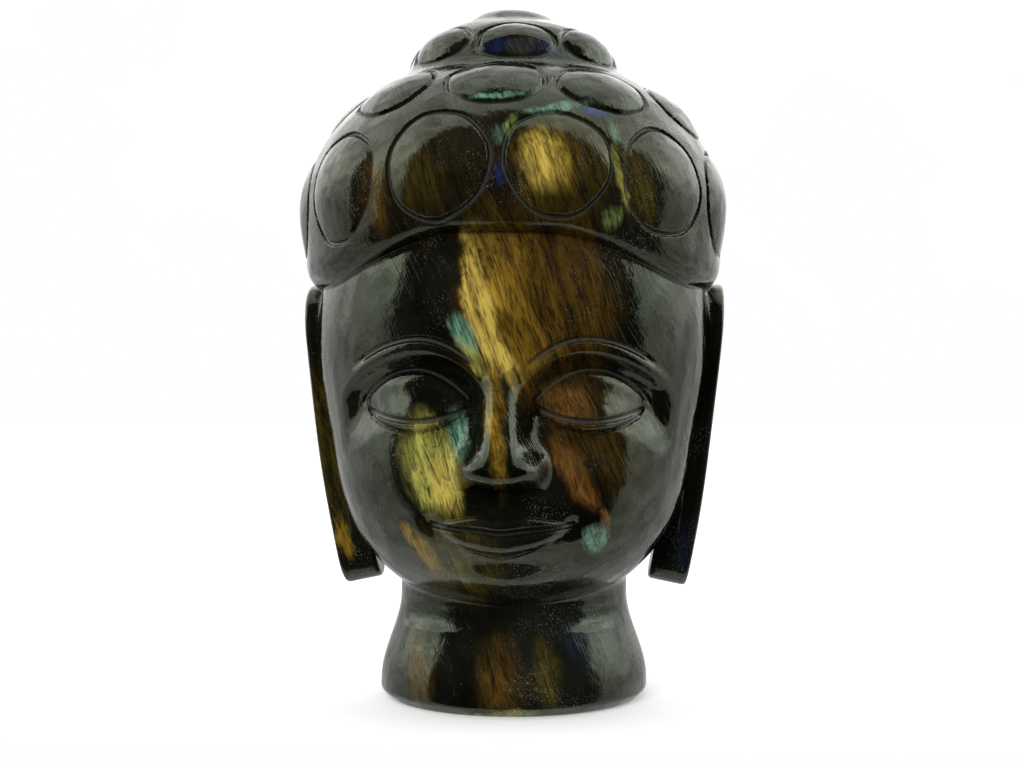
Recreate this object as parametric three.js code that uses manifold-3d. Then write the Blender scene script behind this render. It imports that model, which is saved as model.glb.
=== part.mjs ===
// Carved stone head of a Buddha, one solid of polished labradorite that stands on its own flared neck.
// Millimetres, +Z up. The face looks along -Y and the origin is the centre of the flat underside.

import * as THREE from "three";
import { mergeVertices } from "three/addons/utils/BufferGeometryUtils.js";
import Module from "manifold-3d";

const { smoothstep, degToRad } = THREE.MathUtils;

// Driving dimensions: the height sets the canon's unit, and the face is twelve units tall.
const HEIGHT = 120;
const UNIT = HEIGHT / 24;
const CHIN_Z = 3.6 * UNIT;
const HAIRLINE_Z = CHIN_Z + 12 * UNIT;
const BROW_Z = HAIRLINE_Z - 4 * UNIT;
const NOSE_Z = HAIRLINE_Z - 8 * UNIT;
const MOUTH_Z = NOSE_Z - (4 / 3) * UNIT;
const EYE_WIDTH = 2.8 * UNIT;
const EYE_Z = BROW_Z - 1.28 * UNIT;

// The face's body: an egg-shaped skull joined softly to a jaw.
const SKULL = { z: 62, rx: 34, ry: 33, rz: 44 };
const JAW = { y: -9, z: 36, rx: 25.5, ry: 22.5, rz: 18.6, blend: 12 };
const FACE_CENTRE = new THREE.Vector3(0, -4, 48);
const RELIEF_START = 8;

// Features of the face, as heights over that body.
const FOREHEAD = { z: BROW_Z + 12, height: 1.3, rx: 17, rz: 9 };
const BROW = { x: 13.5, z: BROW_Z + 1.9, innerDrop: 0.049, outerDrop: 0.0333, ridge: 0.55, ridgeWidth: 1.3 };
const SOCKET = { depth: 2.3, shelf: 3.6, floor: 6, foot: 13 };
const SOCKET_SPAN = { inner: 2.5, innerFull: 8, outerFull: 23.5, outer: 28 };
const EYE_HOLLOW = { x: 7.2, z: BROW_Z - 4.4, depth: 1, rx: 3.4, rz: 4.2 };
const LID = { height: 3.2, rx: 9, rz: 5.6 };
const NOSE = { tipZ: NOSE_Z + 3.4, rootZ: BROW_Z - 1.5, tip: 7, root: 1, under: 4.6 };
const NOSE_RIDGE = { half: 4.6, taper: 1.7, power: 2.5 };
const WING = { x: 5, z: NOSE_Z + 2.7, height: 3.4, rx: 2.5, rz: 2.6 };
const MUZZLE = { z: MOUTH_Z - 0.3, height: 2.2, rx: 11.5, rz: 6.8 };
const LIPS = { half: 0.78 * EYE_WIDTH, lift: 0.8 };
const UPPER_LIP = { above: 1.7, height: 1.4, rx: 6.6, rz: 1.6 };
const LOWER_LIP = { below: 2.2, height: 1.7, rx: 5.6, rz: 1.9 };
const CHIN = { z: CHIN_Z + 3.8, height: 2, rx: 7, rz: 4.4 };
const CHIN_FOLD = { z: CHIN_Z + 7.9, depth: 0.9, rx: 7.5, rz: 1.9 };
const CHEEK = { x: 18.5, z: NOSE_Z + 2.5, height: 1.3, rx: 8.5, rz: 8 };

// Incised lines: half width and depth of the cut, and the reach of each line.
const CUT = { half: 0.7, depth: 0.7, lift: 0.5, steps: 9 };
const BROW_CUT = { from: 4.5, to: 23.5, above: 1.5 };
const LASH_CUT = { half: 8.2, z: EYE_Z - 1.2, sag: 2 };

// The hair: a dome over the skull that overhangs the forehead and runs down the back to the nape.
const HAIR = { z: 84.5, rx: 36.4, front: 35.4, back: 36.4, up: 27, down: 51, over: 2, blend: 3, raise: 0.5 };
const HAIR_POLES = { topZ: 109, bottomZ: 70 };
const HAIRLINE = { sideDrop: 7.8, sideFrom: 12, sideTo: 66, napeDrop: 33, napeFrom: 106, napeTo: 140 };
const BRIM = { round: 0.9, rise: 1 };
const BUN = { z: 107.6, rx: 18.4, ry: 18, rz: 10.6 };
const BUTTON = { z: HEIGHT - 5.7, rx: 9.4, ry: 9.2, rz: 5.7 };

// The curls: low oval domes cut out of the hair by a round groove, in rows round the dome and the bun.
const CURL = { sides: 10, depth: 0.85, shoulder: 0.1, top: 0.25, batter: 0.55, lift: 1.6, reach: 12 };
const CURL_ROWS = [
  { count: 11, offset: 0.45, z: 89.4, drop: 4.6, rx: 8.4, rz: 8.9 },
  { count: 9, offset: -0.11, z: 103.8, drop: 2.6, rx: 7.9, rz: 6.6 },
];
const NAPE_ROWS = [
  { angles: [180, 149, -149], z: 64.8, rx: 8.2, rz: 8.6 },
  { angles: [161, -161], z: 48.8, rx: 7.8, rz: 6.6 },
];
const BUN_ROW = { count: 7, offset: 0.08, z: 112.2, drop: 0, rx: 6.5, rz: 4.4 };
const ROW_DROP = { from: 12, to: 78 };

// The long ears: tapered slabs that lean in towards the lobe, with a hollow inside the rim.
const EAR = { topZ: 72.6, bottomZ: 18.6, topR: 9.4, lobeR: 5.6, topY: 5.8, lobeY: 4.2, thick: 7, bevel: 0.7 };
const EAR_LEAN = { lobeX: 30.2, spread: 6.6, power: 1.55 };
const EAR_BOWL = { inset: 2.3, depth: 1.1, lobeShare: 0.27 };

// The neck: a flared drum with a bevelled lower edge.
const NECK = { topR: 19.6, flare: 3.6, flareZ: 18, footZ: 3.5, topZ: 30, edge: 1.7, columns: 32, rows: 4 };

// Columns and rows of each grid, as [first, last, steps] stretches. Face columns and rows are in degrees.
const FACE_COLUMNS = [[-180, -100, 4], [-100, -44, 7], [-44, 44, 26], [44, 100, 7], [100, 180, 4]];
const FACE_ROWS = [[-90, -54, 3], [-54, -21, 10], [-21, -7, 7], [-7, 24, 9], [24, 90, 4]];
const HAIR_COLUMNS = [[-180, 180, 33]];
const HAIR_ROWS = { side: 3, dome: 4 };

const wasm = await Module();
wasm.setup();

// A closed geometry as a solid that can be joined and cut.
function solidOf(geometry) {
  const bare = new THREE.BufferGeometry();
  bare.setAttribute("position", geometry.getAttribute("position"));
  bare.setIndex(geometry.index);
  const merged = mergeVertices(bare, 1e-4);
  const vertProperties = merged.getAttribute("position").array;
  const triVerts = new Uint32Array(merged.index.array);
  return new wasm.Manifold(new wasm.Mesh({ numProp: 3, vertProperties, triVerts }));
}

// A solid as a geometry with flat facets.
function geometryOf(solid) {
  const { vertProperties, triVerts } = solid.getMesh();
  const geometry = new THREE.BufferGeometry();
  geometry.setAttribute("position", new THREE.BufferAttribute(vertProperties, 3));
  geometry.setIndex(new THREE.BufferAttribute(triVerts, 1));
  return geometry.toNonIndexed();
}

// Moves every vertex of a geometry to place(u, v), which reads its texture coordinates.
function placed(geometry, place) {
  const position = geometry.getAttribute("position");
  const uv = geometry.getAttribute("uv");
  for (let i = 0; i < position.count; i++) {
    const point = place(uv.getX(i), uv.getY(i));
    position.setXYZ(i, point.x, point.y, point.z);
  }
  return geometry;
}

// The values along [first, last, steps] stretches, end to end.
function stretchValues(stretches) {
  const values = [stretches[0][0]];
  for (const [first, last, steps] of stretches) {
    for (let i = 1; i <= steps; i++) values.push(first + ((last - first) * i) / steps);
  }
  return values;
}

// A smooth step from 0 to 1 as value goes from start to end, which may run downwards.
const ramp = (start, end, value) =>
  start < end ? smoothstep(value, start, end) : 1 - smoothstep(value, end, start);

const bell = (offset, width) => Math.exp(-((offset / width) ** 2));

// The smaller of two distances, with the seam rounded over a width.
function softUnion(a, b, width) {
  const share = Math.max(width - Math.abs(a - b), 0) / width;
  return Math.min(a, b) - (share * share * width) / 4;
}

// About the distance from an ellipsoid with these half axes, negative inside it.
function ellipsoid(x, y, z, rx, ry, rz) {
  const level = Math.hypot(x / rx, y / ry, z / rz);
  const slope = Math.hypot(x / rx ** 2, y / ry ** 2, z / rz ** 2);
  return slope > 0 ? (level * (level - 1)) / slope : -Math.min(rx, ry, rz);
}

// The first point on a field's surface, from inside it along a direction.
function cast(field, origin, direction, reach = HEIGHT) {
  let inside = 0;
  let outside = reach;
  for (let i = 0; i < 32; i++) {
    const middle = (inside + outside) / 2;
    const point = origin.clone().addScaledVector(direction, middle);
    if (field(point.x, point.y, point.z) < 0) inside = middle;
    else outside = middle;
  }
  return origin.clone().addScaledVector(direction, inside);
}

// The horizontal direction at an angle from the front.
const outward = (angle) => new THREE.Vector3(Math.sin(angle), -Math.cos(angle), 0);

// Height of the brow arch at a distance from the middle.
function browLine(side) {
  const offset = side - BROW.x;
  return BROW.z - (offset < 0 ? BROW.innerDrop : BROW.outerDrop) * offset * offset;
}

function browRelief(side, z) {
  const below = browLine(side) - z;
  const { inner, innerFull, outerFull, outer } = SOCKET_SPAN;
  const span = ramp(inner, innerFull, side) * ramp(outer, outerFull, side);
  const socket = ramp(0, SOCKET.shelf, below) * ramp(SOCKET.foot, SOCKET.floor, below);
  return span * (BROW.ridge * bell(below, BROW.ridgeWidth) - SOCKET.depth * socket);
}

function eyeRelief(side, z) {
  const lid = 1 - ((side - EYE_WIDTH) / LID.rx) ** 2 - ((z - EYE_Z) / LID.rz) ** 2;
  const hollow = bell(side - EYE_HOLLOW.x, EYE_HOLLOW.rx) * bell(z - EYE_HOLLOW.z, EYE_HOLLOW.rz);
  return LID.height * Math.max(lid, 0) - EYE_HOLLOW.depth * hollow;
}

function noseRelief(side, z) {
  const up = THREE.MathUtils.clamp((z - NOSE.tipZ) / (NOSE.rootZ - NOSE.tipZ), 0, 1);
  const ridge = NOSE.tip * (1 - up) + NOSE.root * up;
  const under = ramp(NOSE.tipZ - NOSE.under, NOSE.tipZ, z);
  const half = NOSE_RIDGE.half - NOSE_RIDGE.taper * up;
  const bridge = ridge * ramp(BROW_Z + 3, BROW_Z - 3.5, z) * Math.exp(-((side / half) ** NOSE_RIDGE.power));
  const wing = WING.height * bell(side - WING.x, WING.rx) * bell(z - WING.z, WING.rz);
  return under * (bridge + wing);
}

// Height of the line between the lips at a distance from the middle.
const mouthLine = (side) => MOUTH_Z + LIPS.lift * (side / LIPS.half) ** 2;

function mouthRelief(side, z) {
  const above = z - mouthLine(side);
  const upper = UPPER_LIP.height * bell(side, UPPER_LIP.rx) * bell(above - UPPER_LIP.above, UPPER_LIP.rz);
  const lower = LOWER_LIP.height * bell(side, LOWER_LIP.rx) * bell(above + LOWER_LIP.below, LOWER_LIP.rz);
  return upper + lower + MUZZLE.height * bell(side, MUZZLE.rx) * bell(z - MUZZLE.z, MUZZLE.rz);
}

function broadRelief(side, z) {
  const forehead = FOREHEAD.height * bell(side, FOREHEAD.rx) * bell(z - FOREHEAD.z, FOREHEAD.rz);
  const chin = CHIN.height * bell(side, CHIN.rx) * bell(z - CHIN.z, CHIN.rz);
  const fold = CHIN_FOLD.depth * bell(side, CHIN_FOLD.rx) * bell(z - CHIN_FOLD.z, CHIN_FOLD.rz);
  const cheek = CHEEK.height * bell(side - CHEEK.x, CHEEK.rx) * bell(z - CHEEK.z, CHEEK.rz);
  return forehead + chin - fold + cheek;
}

function relief(x, z) {
  const side = Math.abs(x);
  const forms = [browRelief, eyeRelief, noseRelief, mouthRelief, broadRelief];
  return forms.reduce((sum, form) => sum + form(side, z), 0);
}

const skullField = (x, y, z) => ellipsoid(x, y, z - SKULL.z, SKULL.rx, SKULL.ry, SKULL.rz);

// The face and skull: the relief pushes the front of the body towards -Y.
function faceField(x, y, z) {
  const pushed = y + relief(x, z) * ramp(0, RELIEF_START, -y);
  const jaw = ellipsoid(x, pushed - JAW.y, z - JAW.z, JAW.rx, JAW.ry, JAW.rz);
  return softUnion(skullField(x, pushed, z), jaw, JAW.blend);
}

function hairField(x, y, z) {
  const depth = y < 0 ? HAIR.front : HAIR.back;
  const tall = z > HAIR.z ? HAIR.up : HAIR.down;
  const dome = ellipsoid(x, y, z - HAIR.z, HAIR.rx, depth, tall);
  return softUnion(dome, skullField(x, y, z) - HAIR.over, HAIR.blend);
}

const bunField = (x, y, z) => ellipsoid(x, y, z - BUN.z, BUN.rx, BUN.ry, BUN.rz);

// The point of the face straight in front of (x, z).
const facePoint = (x, z) => cast(faceField, new THREE.Vector3(x, 0, z), outward(0));

// The face and skull as a sphere whose vertices are cast out to the field's surface.
function makeFace() {
  const columns = stretchValues(FACE_COLUMNS);
  const rows = stretchValues(FACE_ROWS);
  const sphere = new THREE.SphereGeometry(1, columns.length - 1, rows.length - 1);
  return placed(sphere, (u, v) => {
    const elevation = degToRad(rows[Math.round(v * (rows.length - 1))]);
    const angle = degToRad(columns[Math.floor(u * (columns.length - 1) + 0.25)]);
    const direction = outward(angle).multiplyScalar(Math.cos(elevation));
    direction.z = Math.sin(elevation);
    return cast(faceField, FACE_CENTRE, direction);
  });
}

// Height of the hair's lower edge at an angle from the front: an arch over the brow, then down to the nape.
function hairlineZ(angle) {
  const degrees = Math.abs(THREE.MathUtils.radToDeg(angle));
  const side = HAIRLINE.sideDrop * ramp(HAIRLINE.sideFrom, HAIRLINE.sideTo, degrees);
  return HAIRLINE_Z - side - HAIRLINE.napeDrop * ramp(HAIRLINE.napeFrom, HAIRLINE.napeTo, degrees);
}

// Heights of the hair's rings at an angle from the front: hairline, side up to the widest ring, dome.
function hairRings(angle) {
  const edge = hairlineZ(angle);
  const rings = [edge];
  for (let i = 0; i <= HAIR_ROWS.side; i++) {
    rings.push(edge + BRIM.rise + ((HAIR.z - edge - BRIM.rise) * i) / HAIR_ROWS.side);
  }
  for (let i = 1; i <= HAIR_ROWS.dome; i++) {
    rings.push(HAIR.z + (HAIR_POLES.topZ - HAIR.z) * Math.sin((Math.PI * i) / (2 * HAIR_ROWS.dome + 1)));
  }
  return rings;
}

// The hair's dome as a sphere whose lowest ring of vertices follows the hairline.
function makeHair() {
  const columns = stretchValues(HAIR_COLUMNS);
  const last = HAIR_ROWS.side + HAIR_ROWS.dome + 3;
  const sphere = new THREE.SphereGeometry(1, columns.length - 1, last);
  const field = (x, y, z) => hairField(x, y, z) - HAIR.raise;
  return placed(sphere, (u, v) => {
    const row = Math.round(v * last);
    if (row === 0) return new THREE.Vector3(0, 0, HAIR_POLES.bottomZ);
    if (row === last) return new THREE.Vector3(0, 0, HAIR_POLES.topZ);
    const angle = degToRad(columns[Math.floor(u * (columns.length - 1) + 0.25)]);
    const point = cast(field, new THREE.Vector3(0, 0, hairRings(angle)[row - 1]), outward(angle));
    return row === 1 ? point.addScaledVector(outward(angle), -BRIM.round) : point;
  });
}

function makeEllipsoid({ z, rx, ry, rz }, raise, columns, rows) {
  const sphere = new THREE.SphereGeometry(1, columns, rows).rotateX(Math.PI / 2);
  return sphere.scale(rx + raise, ry + raise, rz + raise).translate(0, 0, z);
}

// A curl's place on a field: its centre, the directions along and up the surface, and the way out.
function curlFrame(field, angle, z) {
  const centre = cast(field, new THREE.Vector3(0, 0, z), outward(angle));
  const step = 0.05;
  const slope = (dx, dy, dz) =>
    field(centre.x + dx, centre.y + dy, centre.z + dz) - field(centre.x - dx, centre.y - dy, centre.z - dz);
  const normal = new THREE.Vector3(slope(step, 0, 0), slope(0, step, 0), slope(0, 0, step)).normalize();
  const along = new THREE.Vector3(Math.cos(angle), Math.sin(angle), 0);
  along.addScaledVector(normal, -along.dot(normal)).normalize();
  return { field, centre, along, up: normal.clone().cross(along), normal };
}

// The curls of a row that is evenly spaced round the head and hangs lower at its sides and back.
function ringOfCurls(field, { count, offset, z, drop, rx, rz }) {
  return Array.from({ length: count }, (_, i) => {
    const angle = THREE.MathUtils.euclideanModulo((360 * (i + offset)) / count + 180, 360) - 180;
    const low = drop * ramp(ROW_DROP.from, ROW_DROP.to, Math.abs(angle));
    return { ...curlFrame(field, degToRad(angle), z - low), rx, rz };
  });
}

function napeCurls() {
  return NAPE_ROWS.flatMap(({ angles, z, rx, rz }) =>
    angles.map((angle) => ({ ...curlFrame(hairField, degToRad(angle), z), rx, rz })),
  );
}

// A point over a curl's surface: a share of its radius, wider by a margin, turned by an angle and lifted off.
function curlPoint({ field, centre, along, up, normal, rx, rz }, share, margin, turn, lift) {
  const flat = centre.clone().addScaledVector(along, (share * rx + margin) * Math.cos(turn));
  flat.addScaledVector(up, (share * rz + margin) * Math.sin(turn)).addScaledVector(normal, -CURL.reach);
  return cast(field, flat, normal, 2 * CURL.reach).addScaledVector(normal, lift);
}

// The cutter that leaves a curl: its underside is the low dome, down to the foot of the groove round it.
function makeCurlCutter(curl) {
  const { depth, shoulder, top, batter, lift } = CURL;
  const wall = batter * (depth + lift);
  const profile = [[0, 0, top], [0.6, 0, -shoulder], [1, 0, -depth], [1, wall, lift], [0, 0, 2 * lift]];
  const sphere = new THREE.SphereGeometry(1, CURL.sides, profile.length - 1);
  return placed(sphere, (u, v) => {
    const [share, margin, height] = profile[Math.round(v * (profile.length - 1))];
    const turn = (2 * Math.PI * Math.floor(u * CURL.sides + 0.25)) / CURL.sides;
    return curlPoint(curl, share, margin, turn, height);
  });
}

// Outer face of the ear at a height, which leans in towards the lobe.
function earX(z) {
  const up = THREE.MathUtils.clamp((z - EAR.bottomZ) / (EAR.topZ - EAR.bottomZ), 0, 1);
  return EAR_LEAN.lobeX + EAR_LEAN.spread * (1 - (1 - up) ** EAR_LEAN.power);
}

// Side outline of an ear: a large round top and a small round lobe joined by straight edges.
function earOutline(inset, bottomZ) {
  const top = { y: EAR.topY, z: EAR.topZ - EAR.topR, r: EAR.topR - inset };
  const lobe = { y: EAR.lobeY, z: bottomZ + EAR.lobeR, r: EAR.lobeR - inset };
  const tilt = Math.asin((top.r - lobe.r) / (top.z - lobe.z));
  const shape = new THREE.Shape();
  shape.absarc(lobe.y, lobe.z, lobe.r, Math.PI + tilt, 2 * Math.PI - tilt, false);
  shape.absarc(top.y, top.z, top.r, -tilt, Math.PI + tilt, false);
  return shape;
}

// An outline in the YZ plane as a slab that follows the ear's lean, from one depth to another.
function earSlab(outline, inner, outer, bevel) {
  const options = { depth: outer - inner, curveSegments: 5, bevelEnabled: bevel > 0 };
  Object.assign(options, { bevelSize: bevel, bevelOffset: -bevel, bevelThickness: bevel, bevelSegments: 1 });
  const geometry = new THREE.ExtrudeGeometry(outline, options);
  const position = geometry.getAttribute("position");
  for (let i = 0; i < position.count; i++) {
    const y = position.getX(i);
    const z = position.getY(i);
    position.setXYZ(i, earX(z) + inner + position.getZ(i), y, z);
  }
  return geometry;
}

// The same geometry on the other side of the head, with its faces turned back outwards.
function mirrored(geometry) {
  const other = geometry.clone().scale(-1, 1, 1);
  const position = other.getAttribute("position");
  const index = Array.from({ length: position.count }, (_, i) => i);
  for (let i = 0; i < index.length; i += 3) index.splice(i + 1, 2, index[i + 2], index[i + 1]);
  return other.setIndex(index);
}

function makeEar() {
  const slab = earSlab(earOutline(0, EAR.bottomZ), EAR.bevel - EAR.thick, -EAR.bevel, EAR.bevel);
  const bowlFoot = EAR.bottomZ + EAR_BOWL.lobeShare * (EAR.topZ - EAR.bottomZ);
  const bowl = earSlab(earOutline(EAR_BOWL.inset, bowlFoot), -EAR_BOWL.depth, EAR_BOWL.depth, 0);
  return { slab, bowl };
}

// The neck as a turned profile from the underside, round its lower edge and up into the head.
function makeNeck() {
  const wide = NECK.topR + NECK.flare;
  const profile = [[0, 0], [wide - NECK.edge, 0], [wide, NECK.edge]];
  for (let i = 0; i <= NECK.rows; i++) {
    const z = NECK.footZ + ((NECK.flareZ - NECK.footZ) * i) / NECK.rows;
    profile.push([NECK.topR + NECK.flare * ramp(NECK.flareZ, NECK.footZ, z), z]);
  }
  profile.push([NECK.topR, NECK.topZ], [0, NECK.topZ]);
  const points = profile.map(([r, z]) => new THREE.Vector2(r, z));
  return new THREE.LatheGeometry(points, NECK.columns).rotateX(Math.PI / 2);
}

// A line cut into the face along height(x), from one x to a larger one: a groove of triangular section
// that runs out to a point at each end.
function makeCut(from, to, height) {
  const section = [[CUT.half, CUT.lift], [-CUT.half, CUT.lift], [0, -CUT.depth]];
  const sphere = new THREE.SphereGeometry(1, section.length, CUT.steps);
  return placed(sphere, (u, v) => {
    const x = from + (to - from) * v;
    const point = facePoint(x, height(x));
    if (v === 0 || v === 1) return point;
    const slope = height(x + 0.5) - height(x - 0.5);
    const across = new THREE.Vector3(-slope, 0, 1).normalize();
    const [side, lift] = section[Math.floor(u * section.length + 0.25) % section.length];
    return point.addScaledVector(across, side).addScaledVector(outward(0), lift);
  });
}

// Every incised line of the face: the mouth, then the brow and the lid on each side.
function faceCuts() {
  const cuts = [makeCut(-LIPS.half, LIPS.half, (x) => mouthLine(Math.abs(x)))];
  for (const side of [-1, 1]) {
    const bowed = (half, z, bow) => (x) => z + bow * (1 - ((Math.abs(x) - EYE_WIDTH) / half) ** 2);
    const eyeCut = (half, height) => makeCut(side * EYE_WIDTH - half, side * EYE_WIDTH + half, height);
    const brow = [BROW_CUT.from * side, BROW_CUT.to * side].sort((a, b) => a - b);
    cuts.push(makeCut(...brow, (x) => browLine(Math.abs(x)) + BROW_CUT.above));
    cuts.push(eyeCut(LASH_CUT.half, bowed(LASH_CUT.half, LASH_CUT.z, -LASH_CUT.sag)));
  }
  return cuts;
}

// Hair and bun with every curl cut into them.
function makeCrown() {
  let crown = solidOf(makeHair());
  crown = crown.add(solidOf(makeEllipsoid(BUN, HAIR.raise, 28, 8)));
  crown = crown.add(solidOf(makeEllipsoid(BUTTON, 0, 16, 8)));
  const onHair = [...CURL_ROWS.flatMap((row) => ringOfCurls(hairField, row)), ...napeCurls()];
  for (const curl of [...onHair, ...ringOfCurls(bunField, BUN_ROW)]) {
    crown = crown.subtract(solidOf(makeCurlCutter(curl)));
  }
  return crown;
}

function makeHead() {
  let head = solidOf(makeFace());
  for (const cut of faceCuts()) head = head.subtract(solidOf(cut));
  const { slab, bowl } = makeEar();
  for (const side of [(g) => g, mirrored]) {
    head = head.add(solidOf(side(slab))).subtract(solidOf(side(bowl)));
  }
  return head.add(solidOf(makeNeck())).add(makeCrown());
}

const labradorite = new THREE.MeshStandardMaterial({ color: 0x23261f, roughness: 0.2, metalness: 0 });
const head = new THREE.Mesh(geometryOf(makeHead()), labradorite);
head.name = "stone_head";

const figure = new THREE.Group();
figure.add(head);

export default figure;
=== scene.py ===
"""Polished labradorite head of a Buddha: the visual model, its stage and its camera.

The carving is worked out in millimetres as one field of distances, in the part's frame: +Z up, the face
looks along -Y and the origin is the centre of the flat underside. The field is meshed once and scaled to
metres.
"""

import math
from collections import namedtuple
from types import SimpleNamespace as Sizes

import bpy
import numpy as np
import openvdb
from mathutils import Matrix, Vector


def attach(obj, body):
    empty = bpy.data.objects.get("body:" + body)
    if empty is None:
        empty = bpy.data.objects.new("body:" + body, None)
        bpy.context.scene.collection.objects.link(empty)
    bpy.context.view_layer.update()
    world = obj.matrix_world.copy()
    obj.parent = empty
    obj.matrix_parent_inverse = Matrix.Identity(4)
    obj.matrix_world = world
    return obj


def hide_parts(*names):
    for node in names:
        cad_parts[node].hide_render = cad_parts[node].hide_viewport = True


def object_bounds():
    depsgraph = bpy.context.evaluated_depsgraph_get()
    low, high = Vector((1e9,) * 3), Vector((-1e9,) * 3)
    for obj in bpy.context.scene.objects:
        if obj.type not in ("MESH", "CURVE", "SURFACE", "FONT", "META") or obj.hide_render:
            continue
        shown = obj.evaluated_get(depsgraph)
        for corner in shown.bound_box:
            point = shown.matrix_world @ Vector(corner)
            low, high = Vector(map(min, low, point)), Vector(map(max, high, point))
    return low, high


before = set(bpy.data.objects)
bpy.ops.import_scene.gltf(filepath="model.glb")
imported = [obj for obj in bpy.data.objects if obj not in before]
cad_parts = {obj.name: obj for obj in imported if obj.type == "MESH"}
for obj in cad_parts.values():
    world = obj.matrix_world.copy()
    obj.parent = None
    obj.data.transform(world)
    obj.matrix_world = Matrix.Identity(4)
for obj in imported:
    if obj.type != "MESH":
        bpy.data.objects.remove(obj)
cad_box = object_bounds()

# Driving dimensions: the height sets the canon's unit, and the face is twelve units tall.
HEIGHT = 120.0
UNIT = HEIGHT / 24
CHIN_Z = 3.6 * UNIT
HAIRLINE_Z = CHIN_Z + 12 * UNIT
BROW_Z = HAIRLINE_Z - 4 * UNIT
NOSE_Z = HAIRLINE_Z - 8 * UNIT
MOUTH_Z = NOSE_Z - 4 / 3 * UNIT
EYE_WIDTH = 2.8 * UNIT
EYE_Z = BROW_Z - 1.28 * UNIT
METRE = 0.001
TINY = 1e-6

# The face's body and the features over it, as heights.
SKULL = Sizes(z=62.0, rx=34.0, ry=33.0, rz=44.0)
JAW = Sizes(y=-9.0, z=36.0, rx=25.5, ry=22.5, rz=18.6, blend=12.0)
RELIEF_START = 8.0
FOREHEAD = Sizes(z=BROW_Z + 12, height=1.3, rx=17.0, rz=9.0)
BROW = Sizes(x=13.5, z=BROW_Z + 1.9, inner_drop=0.049, outer_drop=0.0333, ridge=0.55, ridge_width=1.3)
SOCKET = Sizes(depth=2.3, shelf=3.6, floor=6.0, foot=13.0)
SOCKET_SPAN = Sizes(inner=2.0, inner_full=6.0, outer_full=23.5, outer=28.0)
EYE_HOLLOW = Sizes(x=7.2, z=BROW_Z - 4.4, depth=1.5, rx=3.4, rz=4.2)
LID = Sizes(height=2.9, rx=8.3, rz=5.0, soft=0.002)
NOSE = Sizes(tip_z=NOSE_Z + 3.4, root_z=BROW_Z - 1.5, tip=7.0, root=1.0, under=3.7, bow=0.9)
NOSE_RIDGE = Sizes(half=4.6, taper=1.7, power=2.5, wide_z=NOSE_Z + 4, slim_z=BROW_Z - 4)
NOSE_ROOT = Sizes(end_z=BROW_Z + 3, full_z=BROW_Z - 3.5)
WING = Sizes(x=5.0, z=NOSE_Z + 2.7, height=3.4, rx=2.5, rz=2.6)
WING_FOLD = Sizes(x=7.8, z=NOSE_Z + 3.0, depth=0.7, rx=1.1, rz=2.6)
MUZZLE = Sizes(z=MOUTH_Z - 0.3, height=2.2, rx=11.5, rz=6.8)
LIPS = Sizes(half=0.78 * EYE_WIDTH, lift=0.8, dip=0.4, dip_half=2.6, end=0.4, thin=0.05)
LIP_BOW = Sizes(depth=0.7, half=1.8)
UPPER_LIP = Sizes(tall=3.3, rise=1.25, taper=0.75, round=0.7)
LOWER_LIP = Sizes(tall=4.3, rise=1.6, taper=0.85, round=0.75)
PHILTRUM = Sizes(depth=0.5, half=1.5, foot=34.0, foot_full=35.2, top=38.2, top_full=37.2)
CHIN = Sizes(z=CHIN_Z + 3.8, height=2.0, rx=7.0, rz=4.4)
CHIN_FOLD = Sizes(z=CHIN_Z + 7.9, depth=0.9, rx=7.5, rz=1.9)
CHEEK = Sizes(x=18.5, z=NOSE_Z + 2.5, height=1.3, rx=8.5, rz=8.0)

# Incised lines: half width and depth of each cut.
BROW_CUT = Sizes(half=0.65, depth=0.6, above=1.5)
BROW_CUT_SPAN = Sizes(inner=3.2, inner_full=5.0, outer_full=22.0, outer=25.0)
LASH_CUT = Sizes(half=0.62, depth=0.85, reach=8.6, z=EYE_Z - 1.2, sag=2.0)
LOWER_LID_CUT = Sizes(half=0.6, depth=0.35, below=1.75, close=1.2)
CREASE_CUT = Sizes(half=0.6, depth=0.55, reach=9.6, z=EYE_Z - 0.6, rise=5.6, shift=0.2)
MOUTH_CUT = Sizes(half=0.65, depth=0.65, full=LIPS.half - 0.4, end=LIPS.half + 1.4)
MOUTH_CORNER = Sizes(x=LIPS.half + 0.4, depth=0.8, rx=1.5, rz=1.4)
CUT_ROUND = 1.4
CUT_FADE = 0.88

# The hair: a dome over the skull that overhangs the forehead and runs down the back to the nape.
HAIR = Sizes(z=84.5, rx=36.4, front=35.4, back=36.4, up=27.0, down=51.0)
HAIR_EDGE = Sizes(over=2.0, blend=3.0, lip=5.0, under=0.9)
HAIRLINE = Sizes(side_drop=7.8, side_from=12, side_to=66, nape_drop=33.0, nape_from=106, nape_to=140)
BUN = Sizes(z=107.6, rx=18.4, ry=18.0, rz=10.6, fillet=2.2)
BUTTON = Sizes(rx=9.4, ry=9.2, rz=5.7, crease=0.6)

# The curls: low oval domes inside a round groove, in rows round the dome and the bun.
HAIR_CURL = Sizes(dome=1.0, depth=0.6, half=0.5)
BUN_CURL = Sizes(dome=0.8, depth=0.55, half=0.5)
CURL_ROWS = [
    Sizes(count=11, offset=0.45, z=89.4, drop=4.6, rx=8.5, rz=8.9),
    Sizes(count=9, offset=-0.11, z=103.8, drop=2.6, rx=7.9, rz=6.6),
]
NAPE_ROWS = [
    Sizes(angles=(180, 149, -149), z=64.8, rx=8.2, rz=8.6),
    Sizes(angles=(161, -161), z=48.8, rx=7.8, rz=6.6),
]
BUN_ROW = Sizes(count=7, offset=0.08, z=112.2, drop=0.0, rx=6.5, rz=4.4)
ROW_DROP = Sizes(first=12, last=78)
HAND = Sizes(turn=1.1, shift=0.45, size=0.035, wobble=0.022, waves=3, chatter=0.009, ripples=7)
CHANCE = Sizes(step=12.9898, salt=78.233, phase=9)
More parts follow.
